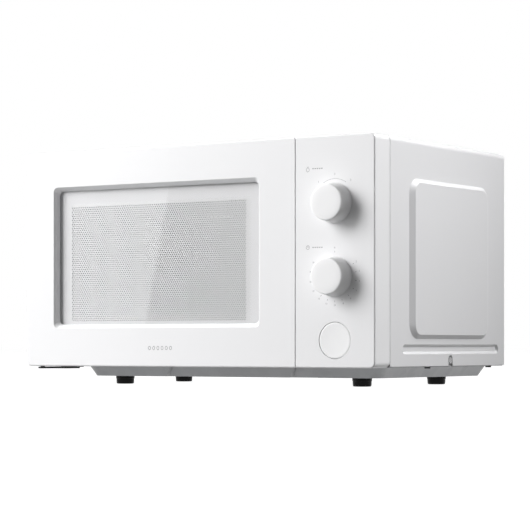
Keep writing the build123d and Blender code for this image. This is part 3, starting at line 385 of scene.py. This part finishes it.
bright_steel = even_skin(
    "bright_steel", (0.66, 0.66, 0.67), (0.52, 0.52, 0.53), (0.24, 0.4), 0.01, 0.0005, 0.00001, Metallic=1.0
)
wear(bright_steel, "case_screws", "upper_hinge", "power_shaft", "timer_shaft")
wear(bright_steel, "fan_shaft", "timer_bell", "hv_capacitor", "magnetron", "lever_spring")
# The base screws and the lower hinge are painted near black: painted shade for where they sit, in the shade
# under the door.
painted_shade_steel = even_skin(
    "painted_shade_steel", (0.05, 0.05, 0.052), (0.03, 0.03, 0.032), (0.4, 0.55), 0.01, 0.0006, 0.00001,
    Specular_IOR_Level=0.3,
)
wear(painted_shade_steel, "base_screws", "lower_hinge")

# ---------------------------------------------------------------- oven cavity and front plate
# A welded steel box, enamelled smooth light grey inside, with a plate across its mouth
# that the door closes on. A mica sheet covers the opening where the microwaves come in.

enamel = even_skin(
    "cavity_enamel", (0.60, 0.61, 0.61), (0.55, 0.56, 0.565), (0.25, 0.36), 0.08, 0.0016, 0.00002,
    Coat_Weight=0.3,
)
wear(enamel, "oven_cavity", "front_plate")

mica = even_skin("mica_sheet", (0.60, 0.55, 0.44), (0.46, 0.41, 0.31), (0.3, 0.5), 0.012, 0.0014, 0.00003)
wear(mica, "waveguide_cover")

# ---------------------------------------------------------------- turntable
# A small motor under the floor turns the ivory hub; the glass tray sits on it and on the
# three rollers of a loose ring, which rolls along the floor at half the tray's speed.

ivory = even_skin(
    "ivory_moulding", (0.74, 0.71, 0.63), (0.69, 0.66, 0.58), (0.38, 0.5), 0.03, 0.0007, 0.00002
)
wear(zinc, "turntable_motor", "control_bracket", "waveguide", "capacitor_clamp")
wear(ivory, "turntable_coupler", "roller_ring", "roller_a", "roller_b", "roller_c")


def clear_finish(name, tint, rough, face_on=0.04):
    """Clear glass or film: what is behind shows through, and the surface mirrors more at a slant."""
    finish = Finish(name, Metallic=1.0, Roughness=rough, Base_Color=(0.96, 0.98, 1.0, 1.0))
    through = finish.node("BsdfTransparent", {}, {"Color": (*tint, 1.0)})
    slant = Value(finish, finish.node("LayerWeight", {}, {"Blend": 0.5}).outputs["Facing"])
    mirror = slant * slant * slant * slant * slant * (1 - face_on) + face_on
    mix = finish.node("MixShader", {}, {"Fac": mirror})
    finish.tree.links.new(through.outputs[0], mix.inputs[1])
    finish.tree.links.new(finish.shader.outputs[0], mix.inputs[2])
    output = finish.tree.nodes["Material Output"]
    finish.tree.links.new(mix.outputs[0], output.inputs["Surface"])
    return finish


tray_glass = clear_finish("tray_glass", (0.90, 0.95, 0.94), 0.03)
low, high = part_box("glass_tray")
tray_middle = (low + high) / 2
tray_under = 0.0504
tray_thick = 0.0045
ring_top = 0.0050
tray_profile = [
    (0.0, 0.0), (0.094, 0.0), (0.0955, 0.0), (0.0975, 0.0004), (0.104, 0.0006), (0.1145, 0.0020),
    (0.1200, 0.0070), (0.1225, 0.0105), (0.1225, 0.0113), (0.1219, 0.0115), (0.1190, 0.0108),
    (0.1150, 0.0072), (0.1105, 0.0052), (0.1040, 0.0047),
]
for ring_radius in (0.0890, 0.0610, 0.0330):
    tray_profile.append((ring_radius + 0.0010, tray_thick))
    tray_profile.append((ring_radius, ring_top))
    tray_profile.append((ring_radius - 0.0012, tray_thick))
tray_profile.append((0.0, tray_thick))
tray = turned((tray_middle.x, tray_middle.y, tray_under), (0, 0, 1), tray_profile, 144)
peg_profile = [(0.0, 0.0), (0.0014, 0.0), (0.0019, 0.0006), (0.0020, 0.0039), (0.0, 0.0039)]
peg_angle = math.radians(60)
peg_circle = 0.0085
peg_x = tray_middle.x + peg_circle * math.cos(peg_angle)
peg_y = tray_middle.y + peg_circle * math.sin(peg_angle)
first_peg = turned((peg_x, peg_y, low.z), (0, 0, 1), peg_profile, 24)
pegs = [first_peg]
tray_axis = (tray_middle.x, tray_middle.y, 0.0)
for turn in (120, 240):
    pegs.append(like(first_peg, centre=tray_axis, axis="Z", angle=math.radians(turn)))
fitted(joined([tray, *pegs]), "turned_tray", "tray", tray_glass, "tray_glass", "glass_tray")

# ---------------------------------------------------------------- microwave source and cooling
# Magnetron, transformer, capacitor and diode stand to the right of the cavity, in the air
# stream of a small fan on the back; the duct leads the air over them and into the oven.


def layered_metal(name, metallic, way, bands, distortion, light, dark, smoothest, depth):
    """Metal in thin layers or turns: a wave draws the lines, and varies the shine and the relief."""
    finish = Finish(name, Metallic=metallic)
    sockets = {"Vector": finish.place(), "Scale": bands, "Distortion": distortion, "Detail": 1.0}
    lines = Value(finish, finish.node("TexWave", {"bands_direction": way}, sockets).outputs["Fac"])
    finish.tones(light, dark, lines)
    finish.feed("Roughness", lines * 0.2 + smoothest)
    finish.relief(lines, depth)
    return finish


laminations = layered_metal(
    "laminations", metallic=0.55, way="Y", bands=320.0, distortion=0.6,
    light=(0.20, 0.20, 0.205), dark=(0.09, 0.09, 0.095), smoothest=0.4, depth=0.0001,
)
wear(laminations, "transformer_core", "fan_motor")

copper = layered_metal(
    "varnished_copper", metallic=0.9, way="Z", bands=210.0, distortion=1.2,
    light=(0.52, 0.22, 0.09), dark=(0.28, 0.10, 0.04), smoothest=0.25, depth=0.0004,
)
wear(copper, "transformer_windings")

wear(ivory, "fan_blade", "air_duct", "interlock_holder", "latch_bar", "release_lever")
wear(ivory, "power_selector", "timer_mechanism", "filter_posts")

# ---------------------------------------------------------------- lamp, mains filter and cut-outs
# A small filament lamp in a ceramic holder, the filter board where the mains comes in,
# its ceramic fuse, and a thermal cut-out on the cavity's wall.

glazed = even_skin(
    "white_ceramic", (0.80, 0.79, 0.76), (0.76, 0.75, 0.71), (0.12, 0.25), 0.02, 0.0009, 0.00001
)
wear(glazed, "lamp_holder", "fuse")
bulb_glass = clear_finish("bulb_glass", (0.94, 0.94, 0.93), 0.02)
wear(bulb_glass, "cavity_lamp")
board_resin = even_skin(
    "board_resin", (0.30, 0.20, 0.10), (0.22, 0.14, 0.07), (0.4, 0.55), 0.01, 0.0007, 0.00002
)
wear(board_resin, "line_filter_board")

# ---------------------------------------------------------------- door
# A white moulded frame carries the clear pane in a recess; behind it lie the perforated
# steel screen, a clear film and the choke cover, with the sprung latch on the right.

face_plastic = even_skin(
    "face_plastic", (0.89, 0.89, 0.90), (0.875, 0.875, 0.885), (0.32, 0.40), 0.09, 0.0009, 0.00001,
    Coat_Weight=0.15,
)
wear(face_plastic, "door_frame", "control_panel")
choke_plastic = even_skin(
    "choke_plastic", (0.66, 0.67, 0.68), (0.62, 0.63, 0.645), (0.4, 0.5), 0.04, 0.0007, 0.00002
)
wear(choke_plastic, "choke_cover")
pane_glass = clear_finish("pane_glass", (0.985, 0.985, 0.985), 0.015)
low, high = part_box("window_pane")
lone()
bpy.ops.mesh.primitive_cube_add(size=1, location=(low + high) / 2, scale=high - low)
pane = bpy.context.object
bpy.ops.object.transform_apply(location=True, rotation=True, scale=True)
bpy.ops.object.mode_set(mode="EDIT")
pick_edges(pane, lambda middle, way: abs(way.y) > 0.9)
pane_corner = 0.0055
bpy.ops.mesh.bevel(offset=pane_corner, segments=6)
bpy.ops.mesh.select_all(action="DESELECT")
lone()
modify(pane, "BEVEL", width=0.0003, segments=2, limit_method="ANGLE", angle_limit=math.radians(50))
smooth(pane, 12)
fitted(pane, "clear_window", "door", pane_glass, "clear_pane", "window_pane")

# A pale grey border is printed on the back of the pane, round a clear field of about the
# same size as the punched one.

border_ink = even_skin(
    "border_ink", (0.76, 0.76, 0.77), (0.745, 0.745, 0.755), (0.4, 0.5), 0.05, 0.0009, 0.000005
)
door_low, door_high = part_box("door_frame")
pane_margin = 0.0005
first_width = 0.012
near = 0.0002
print_gap = 0.00005
print_thick = 0.00012
clear_left = door_low.x + 0.0570
clear_right = door_low.x + 0.2925
clear_bottom = door_low.z + 0.0490
clear_top = door_low.z + 0.1778
border_middle = Vector(((low.x + high.x) / 2, high.y + print_gap, (low.z + high.z) / 2))
lone()
bpy.ops.mesh.primitive_plane_add(size=1, location=border_middle, rotation=(math.pi / 2, 0, 0))
border = bpy.context.object
bpy.ops.object.transform_apply(location=True, rotation=True, scale=True)
bpy.ops.object.mode_set(mode="EDIT")
bpy.ops.mesh.select_all(action="SELECT")
border_size = (high.x - low.x - 2 * pane_margin, 1, high.z - low.z - 2 * pane_margin)
bpy.ops.transform.resize(value=border_size, center_override=border_middle)
bpy.ops.mesh.inset(thickness=first_width)
bpy.ops.mesh.delete(type="FACE")
inner = pane_margin + first_width
inner_edges = (
    (0, low.x + inner, clear_left), (0, high.x - inner, clear_right),
    (2, low.z + inner, clear_bottom), (2, high.z - inner, clear_top),
)
for axis, now, wanted in inner_edges:
    pick_edges(border, lambda middle, way: abs(middle[axis] - now) < near)
    move = Vector((0, 0, 0))
    move[axis] = wanted - now
    bpy.ops.transform.translate(value=move)
bpy.ops.mesh.select_all(action="DESELECT")
lone()
modify(border, "SOLIDIFY", thickness=print_thick, offset=0.0)
border.visible_shadow = False
fitted(border, "pane_border", "door", border_ink, "white_moulding")
film = clear_finish("inner_film", (0.97, 0.97, 0.97), 0.08, 0.02)
wear(film, "inner_film")

# The screen is one enamelled steel sheet with some five thousand six-sided holes punched in
# staggered rows, an unpunched margin, and its edges folded back as the choke's walls.

screen_enamel = even_skin(
    "screen_enamel", (0.80, 0.80, 0.805), (0.785, 0.785, 0.79), (0.45, 0.55), 0.05, 0.0009, 0.00001
)
low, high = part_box("door_screen")
sheet_thick = 0.0006
hole_pitch = 0.0026
row_pitch = hole_pitch * math.sqrt(3) / 2
wall_between = 0.00070
field_low = Vector((door_low.x + 0.0550, low.y, door_low.z + 0.0498))
field_high = Vector((door_low.x + 0.2865, low.y, door_low.z + 0.1765))
columns = int((field_high.x - field_low.x) / hole_pitch)
row_pairs = int((field_high.z - field_low.z) / row_pitch / 2)
bpy.ops.mesh.primitive_circle_add(
    vertices=6, radius=hole_pitch / math.sqrt(3), fill_type="NGON",
    location=field_low, rotation=(math.pi / 2, 0, 0),
)
screen = bpy.context.object
bpy.ops.object.transform_apply(location=True, rotation=True, scale=True)
bpy.ops.object.mode_set(mode="EDIT")
bpy.ops.mesh.select_all(action="SELECT")
bpy.ops.mesh.inset(thickness=wall_between)
bpy.ops.mesh.delete(type="FACE")
bpy.ops.mesh.select_all(action="SELECT")
bpy.ops.mesh.duplicate_move(TRANSFORM_OT_translate={"value": (hole_pitch / 2, 0, row_pitch)})
lone()
modify(screen, "ARRAY", count=columns, use_relative_offset=False, use_constant_offset=True,
       constant_offset_displace=(hole_pitch, 0, 0))
modify(screen, "ARRAY", count=row_pairs, use_relative_offset=False, use_constant_offset=True,
       constant_offset_displace=(0, 0, 2 * row_pitch))
bpy.ops.object.mode_set(mode="EDIT")
bpy.ops.mesh.select_all(action="SELECT")
bpy.ops.mesh.remove_doubles(threshold=0.00002)
bpy.ops.mesh.select_mode(type="EDGE")
bpy.ops.mesh.select_all(action="DESELECT")
cells = bmesh.from_edit_mesh(screen.data)
rim_edges = set()
open_edges = {edge for edge in cells.edges if edge.is_boundary}
start_vert = min((vert for edge in open_edges for vert in edge.verts), key=lambda vert: vert.co.x + vert.co.z)
waiting = [start_vert]
while waiting:
    vert = waiting.pop()
    for edge in vert.link_edges:
        if edge in open_edges and edge not in rim_edges:
            rim_edges.add(edge)
            waiting.append(edge.other_vert(vert))
for edge in rim_edges:
    edge.select_set(True)
bmesh.update_edit_mesh(screen.data)
bpy.ops.object.vertex_group_add()
bpy.ops.object.vertex_group_assign()
bpy.ops.mesh.select_all(action="DESELECT")


def at_sheet_edge(middle, way):
    """Whether an edge lies on the outline of the sheet."""
    across = min(middle.x - low.x, high.x - middle.x)
    return min(across, middle.z - low.z, high.z - middle.z) < 0.0001


sheet_middle = Vector(((low.x + high.x) / 2, low.y, (low.z + high.z) / 2))
bpy.ops.mesh.primitive_plane_add(size=1, location=sheet_middle, rotation=(math.pi / 2, 0, 0))
bpy.ops.transform.resize(value=(high.x - low.x, 1, high.z - low.z), center_override=sheet_middle)
bpy.ops.mesh.delete(type="ONLY_FACE")
pick_edges(screen, at_sheet_edge)
bpy.ops.object.vertex_group_select()
bpy.ops.mesh.fill(use_beauty=True)
pick_edges(screen, at_sheet_edge)
bpy.ops.mesh.extrude_region_move(TRANSFORM_OT_translate={"value": (0, high.y - low.y, 0)})
bpy.ops.mesh.select_all(action="SELECT")
bpy.ops.mesh.normals_make_consistent(inside=False)
lone()
front_facing = sum(face.normal.y * face.area for face in screen.data.polygons)
if front_facing > 0:
    bpy.ops.object.mode_set(mode="EDIT")
    bpy.ops.mesh.select_all(action="SELECT")
    bpy.ops.mesh.flip_normals()
    lone()
modify(screen, "SOLIDIFY", thickness=sheet_thick, offset=-1.0)
screen.vertex_groups.clear()
smooth(screen, 25)
fitted(screen, "punched_screen", "door", screen_enamel, "screen_paint", "door_screen")

# The latch is pushed down by a small coil of hard steel wire. Its upper end bears on a ledge
# of the door and its lower end on the latch, so it closes up as the latch rises.

low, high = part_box("latch_spring")
coil = nodes["latch_spring"].copy()
coil.data = nodes["latch_spring"].data.copy()
coil.parent = None
coil.matrix_world = Matrix.Identity(4)
bpy.context.scene.collection.objects.link(coil)
lone(coil)
bpy.ops.object.mode_set(mode="EDIT")
bpy.ops.mesh.select_all(action="SELECT")
bpy.ops.mesh.remove_doubles(threshold=0.000001)
lone()
coil.name = "latch_coil"
coil.data.materials.clear()
coil.data.materials.append(bright_steel.material)
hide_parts("latch_spring")
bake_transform(coil)

# Six small rings in a row are printed in grey ink on the lower rail of the door.

ink = even_skin(
    "grey_ink", (0.34, 0.34, 0.35), (0.31, 0.31, 0.32), (0.5, 0.6), 0.004, 0.0004, 0.000004
)
ink_rise = 0.00003
front = door_low.y


def printed_ring(x, z, radius, line, height=1.0):
    """A thin printed ring on the front, at x and z."""
    lone()
    bpy.ops.mesh.primitive_circle_add(
        vertices=40, radius=radius, fill_type="NGON", location=(x, front, z), rotation=(math.pi / 2, 0, 0)
    )
    ring = bpy.context.object
    ring.scale = (1, height, 1)
    bpy.ops.object.transform_apply(location=True, rotation=True, scale=True)
    bpy.ops.object.mode_set(mode="EDIT")
    bpy.ops.mesh.select_all(action="SELECT")
    bpy.ops.mesh.inset(thickness=line)
    bpy.ops.mesh.delete(type="FACE")
    lone()
    modify(ring, "SOLIDIFY", thickness=2 * ink_rise, offset=0.0)
    return ring


def printed_bar(x, z, width, height, face=front):
    """A thin printed bar with rounded ends, on the front or on another face."""
    lone()
    bpy.ops.mesh.primitive_cube_add(size=1, location=(x, face, z), scale=(width, 2 * ink_rise, height))
    bar = bpy.context.object
    bpy.ops.object.transform_apply(location=True, rotation=True, scale=True)
    bpy.ops.object.mode_set(mode="EDIT")
    pick_edges(bar, lambda middle, way: abs(way.y) > 0.9)
    bpy.ops.mesh.bevel(offset=min(width, height) * 0.42, segments=3)
    lone()
    return bar


mark_left = door_low.x + 0.1690
mark_z = door_low.z + 0.0200
mark_pitch = 0.0055
mark_pieces = []
for place in range(6):
    mark_pieces.append(printed_ring(mark_left + place * mark_pitch, mark_z, 0.0017, 0.0006, 1.25))
fitted(joined(mark_pieces), "door_mark", "door", ink, "white_moulding")

# ---------------------------------------------------------------- control panel
# The panel is a second white moulding. Its two scales are printed in pale grey: three
# power settings with a fine arc, and the minutes with a short stroke at each number.


def middle_of(name):
    """The x and z of the middle of a node's box."""
    low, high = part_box(name)
    return (low.x + high.x) / 2, (low.z + high.z) / 2


dial_x, power_z = middle_of("power_knob")
timer_z = middle_of("timer_knob")[1]
button_z = middle_of("door_button")[1]


def printed_number(text, x, z, size):
    """Figures printed on the front, centred at x and z."""
    lone()
    bpy.ops.object.text_add(location=(x, front, z), rotation=(math.pi / 2, 0, 0))
    figures = bpy.context.object
    figures.data.body = text
    figures.data.size = size
    figures.data.align_x = "CENTER"
    figures.data.align_y = "CENTER"
    figures.data.extrude = ink_rise
    bpy.ops.object.convert(target="MESH")
    figures = bpy.context.object
    bpy.ops.object.transform_apply(location=True, rotation=True, scale=True)
    return figures


def round_dial(centre_z, radius, degrees):
    """The place at a radius and a clockwise angle from the top of a dial."""
    angle = math.radians(degrees)
    return dial_x + radius * math.sin(angle), centre_z + radius * math.cos(angle)


def printed_word(z):
    """Five short bars in a row, which stand for a word beside its icon."""
    word_left = door_low.x + 0.3739
    return [printed_bar(word_left + place * 0.0026, z, 0.0018, 0.0009) for place in range(5)]


figure_radius = 0.0290
power_scale = []
for degrees, figure in ((-41, "1"), (0, "2"), (40, "3")):
    power_scale.append(printed_number(figure, *round_dial(power_z, figure_radius, degrees), 0.0031))
arc_radius = 0.0246
arc_line = 0.00035
arc_end = 33
arc = printed_ring(dial_x, power_z, arc_radius, arc_line)
lone(arc)
bpy.ops.object.mode_set(mode="EDIT")
for degrees in (arc_end, -arc_end):
    side = math.copysign(1, degrees)
    bpy.ops.mesh.select_all(action="SELECT")
    bpy.ops.mesh.bisect(
        plane_co=(dial_x, front, power_z),
        plane_no=(side * math.cos(math.radians(degrees)), 0, -side * math.sin(math.radians(degrees))),
        use_fill=True, clear_outer=True,
    )
lone()
power_scale.append(arc)
icon_x = door_low.x + 0.3676
power_scale.append(printed_ring(icon_x, power_z + 0.0345, 0.0019, 0.0004, 1.2))
power_scale.append(printed_bar(icon_x, power_z + 0.0374, 0.0024, 0.0004))
power_scale += printed_word(power_z + 0.0355)
fitted(joined(power_scale), "power_scale", "cabinet", ink, "white_moulding")

timer_scale = [printed_number("0", *round_dial(timer_z, figure_radius, 0), 0.0027)]
stroke = printed_bar(dial_x, timer_z + 0.0250, 0.0004, 0.0018)
timer_scale.append(stroke)
minutes = ("2", "3", "4", "5", "6", "8", "10", "12", "15", "20", "25", "30", "35")
first_minute = 60
minute_step = 20
for place, figure in enumerate(minutes):
    degrees = first_minute + minute_step * place
    timer_scale.append(printed_number(figure, *round_dial(timer_z, figure_radius, degrees), 0.0024))
    timer_scale.append(like(stroke, centre=(dial_x, front, timer_z), angle=math.radians(degrees)))
timer_scale.append(printed_ring(icon_x, timer_z + 0.0299, 0.0021, 0.0004))
timer_scale.append(printed_bar(icon_x, timer_z + 0.0305, 0.0004, 0.0014))
timer_scale.append(printed_bar(icon_x + 0.0004, timer_z + 0.0299, 0.0011, 0.0004))
timer_scale += printed_word(timer_z + 0.0298)
fitted(joined(timer_scale), "timer_scale", "cabinet", ink, "white_moulding")

# ---------------------------------------------------------------- dials
# Two equal knobs moulded in matt white plastic and pushed on their shafts, hollow behind,
# with a flared skirt and a flat face. The dark bar of each pointer lies just under the
# face, at the top.

dial_plastic = even_skin(
    "dial_plastic", (0.93, 0.93, 0.935), (0.92, 0.92, 0.925), (0.40, 0.48), 0.03, 0.0006, 0.00001
)
pointer_ink = even_skin(
    "pointer_ink", (0.16, 0.16, 0.17), (0.13, 0.13, 0.14), (0.4, 0.5), 0.003, 0.0004, 0.000004
)
low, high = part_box("power_knob")
knob_back = high.y
knob_rise = high.y - low.y
knob_profile = [
    (0.0, 0.0035), (0.0160, 0.0035), (0.0160, 0.0), (0.0199, 0.0), (0.0204, 0.0004), (0.0205, 0.0012),
    (0.0201, 0.0019), (0.01965, 0.0030), (0.0192, 0.0070), (0.01865, 0.0140), (0.0184, knob_rise - 0.0012),
    (0.0181, knob_rise - 0.0005), (0.0175, knob_rise - 0.00012), (0.0168, knob_rise), (0.0100, knob_rise),
    (0.0, knob_rise),
]
power_dial = turned((dial_x, knob_back, power_z), (0, -1, 0), knob_profile, 128)
timer_dial = like(power_dial, place=(0, 0, timer_z - power_z))
fitted(power_dial, "power_dial_knob", "power_dial", dial_plastic, "white_dial", "power_knob")
fitted(timer_dial, "timer_dial_knob", "timer_dial", dial_plastic, "white_dial", "timer_knob")

pointer_depth = 0.0001
pointer_rise = 0.0147
power_pointer = printed_bar(dial_x, power_z + pointer_rise, 0.0013, 0.0044, low.y + pointer_depth)
timer_pointer = like(power_pointer, place=(0, 0, timer_z - power_z))
fitted(power_pointer, "power_pointer", "power_dial", pointer_ink, "dark_plastic")
fitted(timer_pointer, "timer_pointer", "timer_dial", pointer_ink, "dark_plastic")

# ---------------------------------------------------------------- push button
# A round cap moulded in the same white plastic, very slightly dished, that slides in the
# panel's bore and pushes the release lever with a flat stem.

low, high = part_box("door_button")
cap_depth = 0.0118
cap_radius = 0.0183
hollow_radius = 0.0163
hollow_depth = 0.003
cap_profile = [
    (0.0, hollow_depth - cap_depth), (hollow_radius, hollow_depth - cap_depth), (hollow_radius, -cap_depth),
    (cap_radius, -cap_depth), (cap_radius, -0.0006), (0.0181, -0.0002), (0.0177, 0.0), (0.0165, -0.00008),
    (0.0120, -0.0003), (0.0060, -0.0004), (0.0, -0.00042),
]
cap = turned((dial_x, low.y, button_z), (0, -1, 0), cap_profile, 128)
stem_start = 0.0028
stem_width = 0.010
stem_height = 0.013
stem_z = 0.045
lone()
bpy.ops.mesh.primitive_cube_add(
    size=1, location=(dial_x, (low.y + stem_start + high.y) / 2, stem_z),
    scale=(stem_width, high.y - low.y - stem_start, stem_height),
)
stem = bpy.context.object
bpy.ops.object.transform_apply(location=True, rotation=True, scale=True)
modify(stem, "BEVEL", width=0.0006, segments=2, limit_method="ANGLE", angle_limit=math.radians(50))
fitted(joined([cap, stem]), "push_button", "button", dial_plastic, "white_moulding", "door_button")
